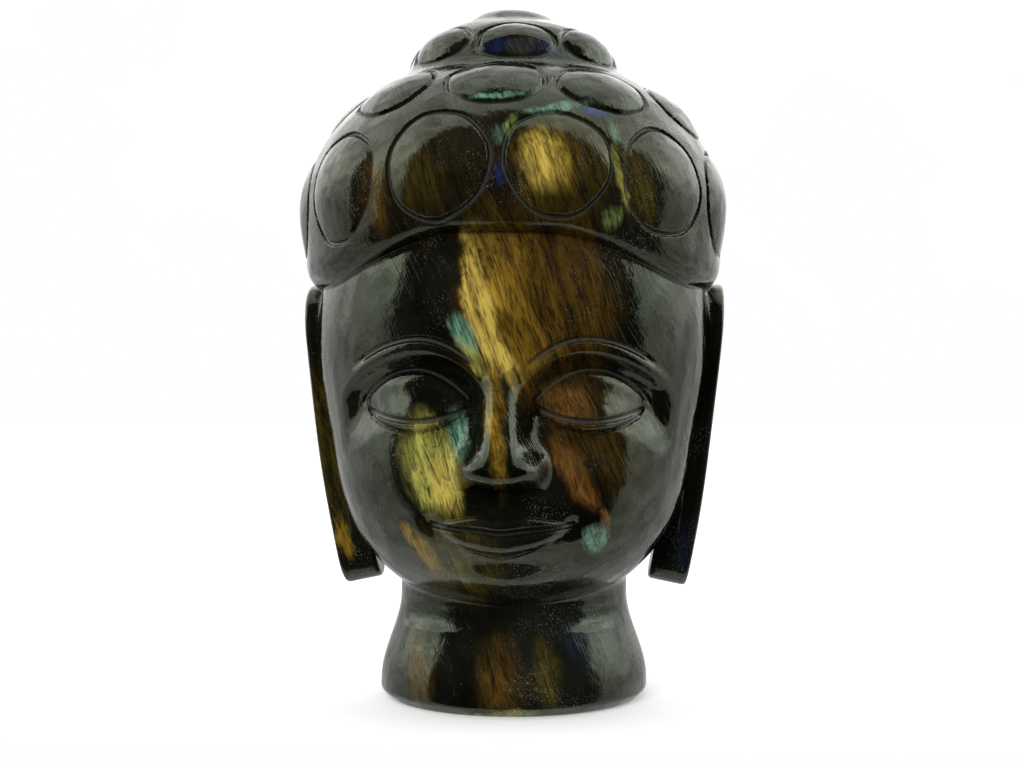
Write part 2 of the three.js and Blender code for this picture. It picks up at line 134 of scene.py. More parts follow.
HALVINGS = 40
CURL_MARGIN = 2

# The long ears and the flared neck.
EAR = Sizes(top_z=72.0, bottom_z=18.6, top_r=9.4, lobe_r=5.6, top_y=5.8, lobe_y=4.2)
EAR_SLAB = Sizes(thick=7.0, edge=0.9, root=1.0)
EAR_LEAN = Sizes(lobe_x=30.2, spread=6.6, power=1.55, lobe_rise=0.22)
EAR_BOWL = Sizes(rim=1.7, full=2.6, depth=1.15, foot=27.5, foot_full=33.0)
EAR_FLUTE = Sizes(inset=2.3, half=1.25, depth=0.8, foot=24.0, foot_full=30.0, top=69.0, top_full=62.0)
EAR_FOLD = Sizes(y=0.6, z=55.0, ry=3.4, rz=8.5, height=0.75, edge=1.25, full=0.75)
EAR_PIT = Sizes(depth=0.9, edge=0.7, full=0.45)
NECK = Sizes(top_r=19.6, flare=3.6, flare_z=18.0, foot_z=3.5, top_z=30.0, bevel=1.7, ease=0.4, slope=0.98)
JOIN = Sizes(neck_top=1.0, neck=1.0, ears=1.0, hair=0.4)
NECK_RING = Sizes(z=15.4, half=2.2, depth=0.5, front=-6.0, full=-14.0)
WAVER = Sizes(height=0.1, first=1.0, full=6.0)
WAVES = Sizes(x=0.21, x_start=0.9, y=0.168, y_start=2.1, z=0.17, z_lean=0.06, z_start=0.4)
SLANT = Sizes(x=0.13, y=-0.11)

# The mesh.
VOXEL = 0.3
COARSE_STEP = 6
BAND = 3.2
MARGIN = 2.0
CHUNK = 500_000
TRIANGLES = 192_000
SLOPE_STEP = 0.02
HALF_BAND = 3
ON_HAIR = 0.3
SETTLE = Sizes(rounds=2, least_slope=0.25, most=0.2)


def ramp(start, end, value):
    """A smooth step from 0 to 1 as value goes from start to end, which may run downwards."""
    t = np.clip((value - start) / (end - start), 0.0, 1.0)
    return t * t * (3 - 2 * t)


def bell(offset, width):
    return np.exp(-((offset / width) ** 2))


def soft_union(a, b, width):
    share = np.maximum(width - np.abs(a - b), 0.0) / width
    return np.minimum(a, b) - share * share * width / 4


def soft_cut(a, b, width):
    return -soft_union(-a, -b, width)


def ellipsoid(x, y, z, rx, ry, rz):
    """About the distance from an ellipsoid with these half axes, negative inside it."""
    level = np.sqrt((x / rx) ** 2 + (y / ry) ** 2 + (z / rz) ** 2)
    slope = np.sqrt((x / rx**2) ** 2 + (y / ry**2) ** 2 + (z / rz**2) ** 2)
    return level * (level - 1) / np.maximum(slope, TINY)


def groove(offset, half, depth):
    """Depth of a round-bottomed cut at a distance from its middle line."""
    return depth * np.clip(1 - (offset / half) ** 2, 0, None) ** CUT_ROUND


def brow_line(side):
    """Height and slope of the brow arch at a distance from the middle."""
    offset = side - BROW.x
    drop = np.where(offset < 0, BROW.inner_drop, BROW.outer_drop)
    return BROW.z - drop * offset * offset, -2 * drop * offset


def brow_relief(side, z):
    below = brow_line(side)[0] - z
    span = ramp(SOCKET_SPAN.inner, SOCKET_SPAN.inner_full, side)
    span = span * ramp(SOCKET_SPAN.outer, SOCKET_SPAN.outer_full, side)
    socket = ramp(0.0, SOCKET.shelf, below) * ramp(SOCKET.foot, SOCKET.floor, below)
    return span * (BROW.ridge * bell(below, BROW.ridge_width) - SOCKET.depth * socket)


def eye_relief(side, z):
    lid = 1 - ((side - EYE_WIDTH) / LID.rx) ** 2 - ((z - EYE_Z) / LID.rz) ** 2
    rise = np.sqrt(np.clip(lid, 0, None) + LID.soft) - math.sqrt(LID.soft)
    hollow = bell(side - EYE_HOLLOW.x, EYE_HOLLOW.rx) * bell(z - EYE_HOLLOW.z, EYE_HOLLOW.rz)
    return LID.height * rise - EYE_HOLLOW.depth * hollow


def nose_relief(side, z):
    up = np.clip((z - NOSE.tip_z) / (NOSE.root_z - NOSE.tip_z), 0, 1)
    ridge = NOSE.tip * (1 - up) ** NOSE.bow + NOSE.root * up
    below_tip = np.clip(NOSE.tip_z - z, 0, None) / NOSE.under
    under = np.sqrt(np.clip(1 - below_tip**2, 0, 1))
    half = NOSE_RIDGE.half - NOSE_RIDGE.taper * ramp(NOSE_RIDGE.wide_z, NOSE_RIDGE.slim_z, z)
    ridge = ridge * ramp(NOSE_ROOT.end_z, NOSE_ROOT.full_z, z)
    bridge = ridge * np.exp(-((side / half) ** NOSE_RIDGE.power))
    wing = WING.height * bell(side - WING.x, WING.rx) * bell(z - WING.z, WING.rz)
    fold = WING_FOLD.depth * bell(side - WING_FOLD.x, WING_FOLD.rx) * bell(z - WING_FOLD.z, WING_FOLD.rz)
    return under * (bridge + wing) - fold


def mouth_line(side):
    """Height of the line between the lips at a distance from the middle."""
    return MOUTH_Z - LIPS.dip * bell(side, LIPS.dip_half) + LIPS.lift * (side / LIPS.half) ** 2


def mouth_relief(side, z):
    line = mouth_line(side)
    share = np.clip(1 - side / LIPS.half, 0, 1)
    upper_tall = UPPER_LIP.tall * share**UPPER_LIP.taper - LIP_BOW.depth * bell(side, LIP_BOW.half)
    lower_tall = LOWER_LIP.tall * np.clip(1 - (side / LIPS.half) ** 2, 0, 1) ** LOWER_LIP.taper
    upper = np.clip((z - line) / np.maximum(upper_tall, LIPS.thin), 0, 1)
    lower = np.clip((line - z) / np.maximum(lower_tall, LIPS.thin), 0, 1)
    lips = UPPER_LIP.rise * (4 * upper * (1 - upper)) ** UPPER_LIP.round
    lips += LOWER_LIP.rise * (4 * lower * (1 - lower)) ** LOWER_LIP.round
    muzzle = MUZZLE.height * bell(side, MUZZLE.rx) * bell(z - MUZZLE.z, MUZZLE.rz)
    corner = bell(side - MOUTH_CORNER.x, MOUTH_CORNER.rx) * bell(z - line, MOUTH_CORNER.rz)
    philtrum = PHILTRUM.depth * bell(side, PHILTRUM.half) * ramp(PHILTRUM.foot, PHILTRUM.foot_full, z)
    philtrum = philtrum * ramp(PHILTRUM.top, PHILTRUM.top_full, z)
    return muzzle + ramp(0.0, LIPS.end, share) * lips - MOUTH_CORNER.depth * corner - philtrum


def broad_relief(side, z):
    forehead = FOREHEAD.height * bell(side, FOREHEAD.rx) * bell(z - FOREHEAD.z, FOREHEAD.rz)
    chin = CHIN.height * bell(side, CHIN.rx) * bell(z - CHIN.z, CHIN.rz)
    fold = CHIN_FOLD.depth * bell(side, CHIN_FOLD.rx) * bell(z - CHIN_FOLD.z, CHIN_FOLD.rz)
    cheek = CHEEK.height * bell(side - CHEEK.x, CHEEK.rx) * bell(z - CHEEK.z, CHEEK.rz)
    return forehead + chin - fold + cheek


def bowed_cut(cut, side, z, middle, height, bow, lowered=0.0):
    """Depth of a line that is cut along an arc over an eye."""
    share = (side - middle) / cut.reach
    line = height + bow * (1 - share * share) - lowered
    slope = np.sqrt(1 + (2 * bow * share / cut.reach) ** 2)
    return ramp(1.0, CUT_FADE, np.abs(share)) * groove((z - line) / slope, cut.half, cut.depth)


def face_cuts(x, z):
    """Depth of every line that is incised in the face."""
    side = np.abs(x)
    line, slope = brow_line(side)
    span = ramp(BROW_CUT_SPAN.inner, BROW_CUT_SPAN.inner_full, side)
    span = span * ramp(BROW_CUT_SPAN.outer, BROW_CUT_SPAN.outer_full, side)
    across = (z - line - BROW_CUT.above) / np.sqrt(1 + slope**2)
    cuts = span * groove(across, BROW_CUT.half, BROW_CUT.depth)
    cuts += bowed_cut(LASH_CUT, side, z, EYE_WIDTH, LASH_CUT.z, -LASH_CUT.sag)
    share = (side - EYE_WIDTH) / LASH_CUT.reach
    lower = Sizes(half=LOWER_LID_CUT.half, depth=LOWER_LID_CUT.depth, reach=LASH_CUT.reach)
    lowered = LOWER_LID_CUT.below - LOWER_LID_CUT.close * share * share
    cuts += bowed_cut(lower, side, z, EYE_WIDTH, LASH_CUT.z, -LASH_CUT.sag, lowered)
    cuts += bowed_cut(CREASE_CUT, side, z, EYE_WIDTH + CREASE_CUT.shift, CREASE_CUT.z, CREASE_CUT.rise)
    mouth = groove(z - mouth_line(side), MOUTH_CUT.half, MOUTH_CUT.depth)
    return cuts + ramp(MOUTH_CUT.end, MOUTH_CUT.full, side) * mouth


def face_relief(x, z):
    side = np.abs(x)
    forms = brow_relief(side, z) + eye_relief(side, z) + nose_relief(side, z)
    return forms + mouth_relief(side, z) + broad_relief(side, z) - face_cuts(x, z)


def skull_field(x, y, z):
    return ellipsoid(x, y, z - SKULL.z, SKULL.rx, SKULL.ry, SKULL.rz)


def face_field(x, y, z):
    pushed = y + face_relief(x, z) * ramp(0.0, RELIEF_START, -y)
    jaw = ellipsoid(x, pushed - JAW.y, z - JAW.z, JAW.rx, JAW.ry, JAW.rz)
    return soft_union(skull_field(x, pushed, z), jaw, JAW.blend)


def hair_base(x, y, z):
    depth = np.where(y < 0, HAIR.front, HAIR.back)
    tall = np.where(z > HAIR.z, HAIR.up, HAIR.down)
    dome = ellipsoid(x, y, z - HAIR.z, HAIR.rx, depth, tall)
    return soft_union(dome, skull_field(x, y, z) - HAIR_EDGE.over, HAIR_EDGE.blend)


def bun_base(x, y, z):
    return ellipsoid(x, y, z - BUN.z, BUN.rx, BUN.ry, BUN.rz)


def slope_of(field, x, y, z):
    """The gradient of a field, as three arrays."""
    step = SLOPE_STEP
    along_x = field(x + step, y, z) - field(x - step, y, z)
    along_y = field(x, y + step, z) - field(x, y - step, z)
    along_z = field(x, y, z + step) - field(x, y, z - step)
    return np.stack([along_x, along_y, along_z], axis=-1) / (2 * step)


def curl_at(field, angle, z, rx, rz):
    """A curl on a field at an angle from the front: its centre, and the ways along and up the surface."""
    ray = np.array([math.sin(angle), -math.cos(angle), 0.0])
    inside, outside = 0.0, HEIGHT
    for _ in range(HALVINGS):
        middle = (inside + outside) / 2
        if field(middle * ray[0], middle * ray[1], z) < 0:
            inside = middle
        else:
            outside = middle
    centre = inside * ray + np.array([0.0, 0.0, z])
    out = slope_of(field, *centre)
    out = out / np.linalg.norm(out)
    along = np.array([math.cos(angle), math.sin(angle), 0.0])
    along = along - out * along.dot(out)
    along = along / np.linalg.norm(along)
    phase = CHANCE.phase * angle + z
    return Sizes(centre=centre, along=along, up=np.cross(out, along), rx=rx, rz=rz, phase=phase)


def by_hand(curl_number, salt):
    """A repeatable wobble between -1 and 1, for a curl that was placed by hand."""
    return math.sin(CHANCE.step * curl_number + CHANCE.salt * salt)


def hand_placed(field, number, degrees, z, rx, rz):
    angle = math.radians(degrees + HAND.turn * by_hand(number, 1))
    height = z + HAND.shift * by_hand(number, 2)
    wide = rx * (1 + HAND.size * by_hand(number, 3))
    tall = rz * (1 + HAND.size * by_hand(number, 4))
    return curl_at(field, angle, height, wide, tall)


def ring_of_curls(field, row, first_number):
    """The curls of a row that is evenly spaced round the head and hangs lower at its sides and back."""
    curls = []
    for i in range(row.count):
        degrees = (360 * (i + row.offset) / row.count + 180) % 360 - 180
        low = row.drop * float(ramp(ROW_DROP.first, ROW_DROP.last, abs(degrees)))
        curls.append(hand_placed(field, first_number + i, degrees, row.z - low, row.rx, row.rz))
    return curls


def hair_curls():
    curls = []
    for row in CURL_ROWS:
        curls += ring_of_curls(hair_base, row, len(curls))
    for row in NAPE_ROWS:
        for degrees in row.angles:
            curls.append(hand_placed(hair_base, len(curls), degrees, row.z, row.rx, row.rz))
    return curls


HAIR_CURLS = hair_curls()
BUN_CURLS = ring_of_curls(bun_base, BUN_ROW, len(HAIR_CURLS))


def curl_relief(curls, style, x, y, z):
    """Height of the domes and depth of the grooves of these curls at each point."""
    height = np.zeros_like(x)
    cut = np.zeros_like(x)
    for curl in curls:
        reach = max(curl.rx, curl.rz) + CURL_MARGIN
        dx, dy, dz = x - curl.centre[0], y - curl.centre[1], z - curl.centre[2]
        near = np.nonzero(dx * dx + dy * dy + dz * dz < reach * reach)[0]
        offset = np.stack([dx[near], dy[near], dz[near]], axis=-1)
        across, upward = offset @ curl.along / curl.rx, offset @ curl.up / curl.rz
        turn = np.arctan2(upward, across)
        wobble = HAND.wobble * np.sin(HAND.waves * turn + curl.phase)
        wobble += HAND.chatter * np.sin(HAND.ripples * turn + 2 * curl.phase)
        radius = np.hypot(across, upward) * (1 + wobble)
        height[near] += style.dome * np.clip(1 - radius * radius, 0, None)
        edge = (radius - 1) * min(curl.rx, curl.rz)
        cut[near] = np.maximum(cut[near], groove(edge, style.half, style.depth))
    return height, cut


def hairline(angle):
    """Height of the hair's lower edge: an arch over the brow, then down behind the ears to the nape."""
    degrees = np.abs(np.degrees(angle))
    side = HAIRLINE.side_drop * ramp(HAIRLINE.side_from, HAIRLINE.side_to, degrees)
    return HAIRLINE_Z - side - HAIRLINE.nape_drop * ramp(HAIRLINE.nape_from, HAIRLINE.nape_to, degrees)


def crown_field(x, y, z):
    """Hair, bun and button."""
    dome, cut = curl_relief(HAIR_CURLS, HAIR_CURL, x, y, z)
    bun_dome, bun_cut = curl_relief(BUN_CURLS, BUN_CURL, x, y, z)
    bun = bun_base(x, y, z) - bun_dome + bun_cut
    hair = soft_union(hair_base(x, y, z) - dome + cut, bun, BUN.fillet)
    button = ellipsoid(x, y, z - HEIGHT + BUTTON.rz, BUTTON.rx, BUTTON.ry, BUTTON.rz)
    crown = soft_union(hair, button, BUTTON.crease)
    under = (hairline(np.arctan2(x, -y)) - z) * HAIR_EDGE.under
    return soft_cut(crown, under, HAIR_EDGE.lip)


def neck_field(x, y, z):
    flare = ramp(NECK.flare_z, NECK.foot_z, z)
    ring = groove(z - NECK_RING.z, NECK_RING.half, NECK_RING.depth)
    ring = ring * ramp(NECK_RING.front, NECK_RING.full, y)
    side = np.hypot(x, y) - NECK.top_r - NECK.flare * flare + ring
    side = soft_cut(side * NECK.slope, z - NECK.top_z, JOIN.neck_top)
    bevel = (side - z + NECK.bevel) * math.sqrt(0.5)
    return soft_cut(soft_cut(side, bevel, NECK.ease), -z, NECK.ease)


def ear_outline(y, z):
    """Distance from the ear's side outline: a large round top and a small round lobe, joined straight."""
    tall = EAR.top_z - EAR.top_r - EAR.bottom_z - EAR.lobe_r
    up = z - EAR.bottom_z - EAR.lobe_r
    across = np.abs(y - EAR.lobe_y - (EAR.top_y - EAR.lobe_y) * np.clip(up / tall, 0, 1))
    lean = (EAR.lobe_r - EAR.top_r) / tall
    level = math.sqrt(1 - lean * lean)
    along = up * level - across * lean
    lobe = np.hypot(across, up) - EAR.lobe_r
    top = np.hypot(across, up - tall) - EAR.top_r
    edge = across * level + up * lean - EAR.lobe_r
    return np.where(along < 0, lobe, np.where(along > level * tall, top, edge))


def ear_field(x, y, z):
    side = np.abs(x)
    up = np.clip((z - EAR.bottom_z) / (EAR.top_z - EAR.bottom_z), 0, 1)
    face = EAR_LEAN.lobe_x + EAR_LEAN.spread * (1 - (1 - up) ** EAR_LEAN.power)
    outline = ear_outline(y, z - EAR_LEAN.lobe_rise * np.clip(face - side, 0, EAR_SLAB.thick) * (1 - up))
    length = ramp(EAR_FLUTE.foot, EAR_FLUTE.foot_full, z) * ramp(EAR_FLUTE.top, EAR_FLUTE.top_full, z)
    flute = groove(side - face + EAR_FLUTE.inset, EAR_FLUTE.half, EAR_FLUTE.depth) * length
    bowl = ramp(-EAR_BOWL.rim, -EAR_BOWL.full, outline) * ramp(EAR_BOWL.foot, EAR_BOWL.foot_full, z)
    middle = EAR.lobe_y + (EAR.top_y - EAR.lobe_y) * up + EAR_FOLD.y
    fold = np.hypot((y - middle) / EAR_FOLD.ry, (z - EAR_FOLD.z) / EAR_FOLD.rz)
    carved = EAR_BOWL.depth - EAR_FOLD.height * ramp(EAR_FOLD.edge, EAR_FOLD.full, fold)
    carved = carved + EAR_PIT.depth * ramp(EAR_PIT.edge, EAR_PIT.full, fold)
    slab = soft_cut(side - face + carved * bowl, face - EAR_SLAB.thick - side, EAR_SLAB.root)
    return soft_cut(outline + flute, slab, EAR_SLAB.edge)


def waver(x, y, z):
    """The slight unevenness of a surface that was ground and polished by hand."""
    across = np.sin(WAVES.x * x + WAVES.x_start) * np.sin(WAVES.y * y + WAVES.y_start)
    up = np.sin(WAVES.z * z + WAVES.z_lean * x + WAVES.z_start) * np.sin(SLANT.x * x + SLANT.y * y)
    return WAVER.height * (across + up)


def head_field(x, y, z):
    head = soft_union(face_field(x, y, z), neck_field(x, y, z), JOIN.neck)
    head = soft_union(head, ear_field(x, y, z), JOIN.ears)
    head = soft_union(head, crown_field(x, y, z), JOIN.hair)
    return head + waver(x, y, z) * ramp(WAVER.first, WAVER.full, z)


def cut_depth(x, y, z):
    """How deep each point lies in an incised line, from 0 on the surface to 1 at the foot of a deep cut."""
    hair_cut = curl_relief(HAIR_CURLS, HAIR_CURL, x, y, z)[1]
    bun_cut = curl_relief(BUN_CURLS, BUN_CURL, x, y, z)[1]
    on_hair = crown_field(x, y, z) < ON_HAIR
    on_face = np.logical_and(~on_hair, y < -RELIEF_START)
    depth = np.where(on_hair, np.maximum(hair_cut, bun_cut), 0.0) + np.where(on_face, face_cuts(x, z), 0.0)
    return np.clip(depth / HAIR_CURL.depth, 0, 1)


def in_chunks(function, points):
    parts = []
    for start in range(0, len(points), CHUNK):
        part = points[start : start + CHUNK]
        parts.append(function(part[:, 0], part[:, 1], part[:, 2]))
    return np.concatenate(parts)


def head_polygons():
    """Points and four-sided faces of the field's surface, on a grid that is fine near the surface only."""
    low, high = (np.array(corner) / METRE for corner in cad_box)
    low, high = low - MARGIN, high + MARGIN
    coarse = VOXEL * COARSE_STEP
    counts = np.ceil((high - low) / coarse).astype(int) + 1
    axes = [low[i] + coarse * np.arange(counts[i]) for i in range(3)]
    points = np.stack(np.meshgrid(*axes, indexing="ij"), axis=-1).reshape(-1, 3)
    rough = in_chunks(head_field, points).reshape(counts)
    fine = rough
    for axis in range(3):
        fine = np.repeat(fine, COARSE_STEP, axis=axis)
    shift = (COARSE_STEP - 1) / 2 * VOXEL
    near = np.argwhere(np.abs(fine) < BAND)
    values = in_chunks(head_field, near * VOXEL + low - shift)
    edge = HALF_BAND * VOXEL
    fine = np.clip(fine, -edge, edge)
    fine[tuple(near.T)] = np.clip(values, -edge, edge)
    grid = openvdb.FloatGrid(edge)
    grid.copyFromArray(fine)
    grid.gridClass = openvdb.GridClass.LEVEL_SET
    vertices, _, quads = grid.convertToPolygons(isovalue=0.0, adaptivity=0.0)
    return vertices * VOXEL + low - shift, quads[:, ::-1]


def settle(points):
    """Moves points onto the field's surface and gives the surface's directions there."""
    for _ in range(SETTLE.rounds):
        slope = in_chunks(lambda x, y, z: slope_of(head_field, x, y, z), points)
        steep = np.maximum((slope**2).sum(axis=1), SETTLE.least_slope)
        step = np.clip(in_chunks(head_field, points) / steep, -SETTLE.most, SETTLE.most)
        points = points - slope * step[:, None]
    slope = in_chunks(lambda x, y, z: slope_of(head_field, x, y, z), points)
    return points, slope / np.maximum(np.linalg.norm(slope, axis=1, keepdims=True), TINY)


def make_head():
    points, quads = head_polygons()
    rough = bpy.data.meshes.new("rough_head")
    rough.from_pydata(points, [], quads)
    head = bpy.data.objects.new("polished_head", rough)
    bpy.context.collection.objects.link(head)
    thin = head.modifiers.new("thin", "DECIMATE")
    thin.ratio = TRIANGLES / (2 * len(quads))
    thinned = bpy.data.meshes.new_from_object(head.evaluated_get(bpy.context.evaluated_depsgraph_get()))
    head.modifiers.clear()
    head.data = thinned
    bpy.data.meshes.remove(rough)
    thinned.name = "polished_head"
    places = np.empty(3 * len(thinned.vertices), dtype=np.float32)
    thinned.vertices.foreach_get("co", places)
    places, directions = settle(places.reshape(-1, 3).astype(float))
    thinned.vertices.foreach_set("co", (places * METRE).astype(np.float32).ravel())
    thinned.shade_smooth()
    thinned.normals_split_custom_set_from_vertices(directions)
    cut = thinned.attributes.new("cut", "FLOAT", "POINT")
    cut.data.foreach_set("value", in_chunks(cut_depth, places).astype(np.float32))
    thinned.update()
    return head


# The stone, in millimetres: a near-black body, flashes of colour that lie in patches, and a grain that
# leans from upper left to lower right. The flash colours are a painted sheen: labradorescence is a
# reflection that changes with the view, painted here as fixed colour, though the patches keep their
# places in the stone.
Patch = namedtuple("Patch", "x z rx rz lean soft colour strength")
GOLD = (0.42, 0.25, 0.025)
PALE_GOLD = (0.68, 0.50, 0.10)
BROWN = (0.085, 0.045, 0.006)
OLIVE = (0.075, 0.058, 0.007)
ORANGE = (0.30, 0.13, 0.03)
LIME = (0.44, 0.42, 0.09)
GREEN = (0.20, 0.28, 0.08)
TEAL = (0.16, 0.36, 0.24)
BLUE = (0.008, 0.05, 0.26)
NIGHT = (0.014, 0.020, 0.04)
BODY_DARK = (0.0025, 0.0027, 0.0018)
BODY_LIGHT = (0.012, 0.0125, 0.0085)
CUT_GREY = (0.06, 0.064, 0.058)
# Painted glint of the scratches: a light grey laid into the colour.
SCRATCH_GLINT = (0.42, 0.44, 0.40)
POLISH_TINT = (0.86, 1.0, 0.66, 1)
# Painted sheen on the front: each patch paints a flash of labradorescence as fixed colour.
FRONT_SHEEN_PATCHES = [
    Patch(3.0, 86.0, 25.0, 10.0, 0, 0.6, BROWN, 0.18),
    Patch(6.0, 67.0, 11.5, 14.0, 8, 0.4, BROWN, 1.0),
    Patch(1.5, 67.0, 5.4, 12.0, -14, 0.6, GOLD, 0.35),
    Patch(-2.6, 69.5, 3.2, 10.0, -11, 0.35, GOLD, 0.8),
    Patch(-3.5, 67.5, 2.1, 10.5, -11, 0.3, PALE_GOLD, 1.0),
    Patch(-0.4, 59.4, 1.6, 5.4, -24, 0.4, PALE_GOLD, 0.8),
    Patch(-5.4, 62.0, 1.6, 3.4, -28, 0.4, TEAL, 0.9),
    Patch(-4.2, 58.4, 0.9, 3.6, -32, 0.5, LIME, 0.6),
    Patch(-0.6, 47.5, 1.5, 9.0, -4, 0.5, GOLD, 0.6),
    Patch(-11.2, 41.5, 4.4, 7.4, -18, 0.35, LIME, 1.0),
    Patch(-9.0, 38.5, 2.2, 5.0, -14, 0.5, PALE_GOLD, 0.7),
    Patch(-6.6, 46.6, 1.5, 3.4, -10, 0.5, TEAL, 0.7),
    Patch(-13.2, 27.5, 1.5, 4.6, -34, 0.4, GOLD, 0.8),
    Patch(-7.0, 26.0, 6.0, 7.0, -34, 0.6, OLIVE, 0.8),
    Patch(10.5, 50.6, 3.4, 3.2, 20, 0.6, ORANGE, 0.7),
    Patch(11.6, 40.5, 2.0, 5.4, -28, 0.5, ORANGE, 0.9),
    Patch(14.0, 45.0, 6.0, 8.0, -24, 0.7, BROWN, 0.6),
    Patch(14.4, 29.6, 1.7, 2.4, 12, 0.35, TEAL, 0.9),
    Patch(15.9, 33.0, 0.8, 1.7, 0, 0.4, ORANGE, 0.8),
    Patch(9.6, 88.4, 8.2, 8.8, 10, 0.2, OLIVE, 0.35),
    Patch(7.4, 88.6, 4.2, 5.0, -14, 0.6, GOLD, 0.45),
    Patch(6.6, 88.8, 3.0, 4.0, -14, 0.6, PALE_GOLD, 0.9),
    Patch(1.6, 94.6, 1.0, 1.6, 40, 0.5, GREEN, 0.9),
    Patch(8.4, 98.0, 4.4, 0.8, -16, 0.5, TEAL, 0.8),
    Patch(14.6, 97.0, 2.2, 0.8, 22, 0.5, BLUE, 0.9),
    Patch(17.2, 94.4, 0.7, 1.8, -30, 0.5, TEAL, 0.7),
    Patch(18.6, 87.0, 0.6, 5.0, -12, 0.5, LIME, 0.9),
    Patch(17.4, 80.2, 1.4, 1.8, 40, 0.5, GREEN, 0.7),
    Patch(-0.2, 93.6, 1.0, 1.4, 0, 0.6, TEAL, 0.35),
    Patch(0.0, 87.0, 0.8, 2.0, 0, 0.6, BLUE, 0.5),
    Patch(-13.0, 86.0, 4.0, 6.5, -10, 0.6, OLIVE, 0.3),
    Patch(-20.5, 85.0, 1.8, 6.0, -8, 0.5, BROWN, 0.9),
    Patch(21.5, 86.5, 2.0, 6.4, -12, 0.5, OLIVE, 1.0),
    Patch(-0.8, 100.2, 4.0, 0.6, -6, 0.4, TEAL, 0.9),
    Patch(3.0, 110.0, 6.4, 1.2, 2, 0.4, BLUE, 0.25),
    Patch(2.6, 109.8, 2.2, 1.6, 0, 0.5, OLIVE, 0.7),
    Patch(-32.5, 42.0, 4.0, 17.0, -8, 0.5, OLIVE, 1.0),
    Patch(-29.6, 27.5, 1.4, 5.0, -12, 0.4, GOLD, 0.9),
    Patch(31.0, 26.0, 3.0, 6.0, 8, 0.5, NIGHT, 1.0),
    Patch(-0.6, 6.4, 3.6, 6.0, -6, 0.6, BROWN, 0.8),
    Patch(6.6, 6.8, 1.8, 6.0, -6, 0.6, OLIVE, 0.9),
    Patch(14.0, 12.0, 4.4, 4.0, 10, 0.5, NIGHT, 0.9),
    Patch(-14.8, 6.6, 2.0, 5.4, -6, 0.6, BROWN, 0.7),
    Patch(-1.0, 0.5, 5.4, 0.7, 0, 0.4, LIME, 0.4),
]
FRONT = Sizes(y=-26.0, ry=30.0)

# The grain, in millimetres and degrees; low and high are the noise values where a feature begins and where
# it is full.
GRAIN = Sizes(lean=-17, low=0.38, high=0.60, dark=0.1, light=1.15)
DRIFT_NOISE = Sizes(detail=2, roughness=0.5)
SLOW_DRIFT = Sizes(scale=0.14, reach=1.6)
QUICK_DRIFT = Sizes(scale=0.75, reach=0.5)
BEND = Sizes(scale=0.05, reach=2.0)
CLOUDS = Sizes(scale=0.06, detail=6, roughness=0.62, low=0.42, high=0.72)
STREAKS = Sizes(size=(0.34, 0.7, 2.6), detail=4, roughness=0.65, share=0.6)
SHEETS = Sizes(scale=0.9, detail=5, roughness=0.7, share=0.4)
BROAD = Sizes(size=(3.0, 5.0, 8.0), detail=3, low=0.3, high=0.6, dark=0.35, light=1.2)
BLOCKS = Sizes(size=(1.5, 3.0, 5.0), dark=0.6, light=1.4)
FISSURES = Sizes(lean=GRAIN.lean - 8, scale=0.4, detail=2, half=0.02)
BROKEN = Sizes(scale=0.22, detail=2, low=0.46, high=0.54)
CRAZING = Sizes(lean=GRAIN.lean - 14, size=(1.6, 2.5, 4.2), half=0.03)
WORN = Sizes(scale=0.09, detail=2, low=0.54, high=0.62)
CRACKS = Sizes(shade=0.15, depth=0.1)
BACK = Sizes(first=-2.0, full=14.0, strength=0.6)
BACK_HUE = Sizes(scale=0.035, detail=1, blue=0.36, teal=0.44, olive=0.50, gold=0.58)
BACK_SHEET = Sizes(size=(16, 16, 28), detail=3, low=0.5, high=0.66)
STEEP_SCRATCH_GLINTS = Sizes(lean=-28, size=(0.14, 0.2, 0.45), low=0.66, high=0.76)
SHALLOW_SCRATCH_GLINTS = Sizes(lean=52, size=(0.12, 0.2, 0.5), low=0.68, high=0.78)
SCRATCH_GLINT_DRIFTS = Sizes(scale=0.13, detail=4, low=0.5, high=0.7, strength=0.6)
CUT_FOOT = Sizes(low=0.6, high=0.95, share=0.7, rough=0.2)
POLISH = Sizes(scale=1.1, detail=6, roughness=0.7, low=0.35, high=0.7, smooth=0.04, dull=0.11, ior=1.56)
BUMP = Sizes(scale=0.3, detail=3, streaks=0.1, distance=0.00011)


def node(tree, kind, sockets=None, **settings):
    """A new node with these settings, whose inputs are linked to sockets or set to values."""
    made = tree.nodes.new(kind)
    for name, value in settings.items():
        setattr(made, name, value)
    for name, value in (sockets or {}).items():
        if isinstance(value, bpy.types.NodeSocket):
            tree.links.new(value, made.inputs[name])
        else:
            made.inputs[name].default_value = value
    return made


def math_node(tree, operation, a, b=0.5, clamp=False):
    return node(tree, "ShaderNodeMath", {0: a, 1: b}, operation=operation, use_clamp=clamp).outputs[0]


def vector_node(tree, operation, sockets):
    return node(tree, "ShaderNodeVectorMath", sockets, operation=operation).outputs[0]


def stretched(tree, place, lean, size, middle=(0, 0, 0)):
    """Coordinates about a middle, leaned in the view of the face, with this unit along each axis."""
    sockets = {"Vector": place, "Location": middle, "Rotation": (0, math.radians(lean), 0), "Scale": size}
    return node(tree, "ShaderNodeMapping", sockets, vector_type="TEXTURE").outputs[0]


def noise(tree, place, scale, detail, roughness=0.55):
    sockets = {"Vector": place, "Scale": scale, "Detail": detail, "Roughness": roughness}
    return node(tree, "ShaderNodeTexNoise", sockets)


def spread(tree, value, low, high, to_low=0.0, to_high=1.0, smooth=False):
    sockets = {"Value": value, "From Min": low, "From Max": high, "To Min": to_low, "To Max": to_high}
    kind = "SMOOTHSTEP" if smooth else "LINEAR"
    return node(tree, "ShaderNodeMapRange", sockets, interpolation_type=kind).outputs[0]


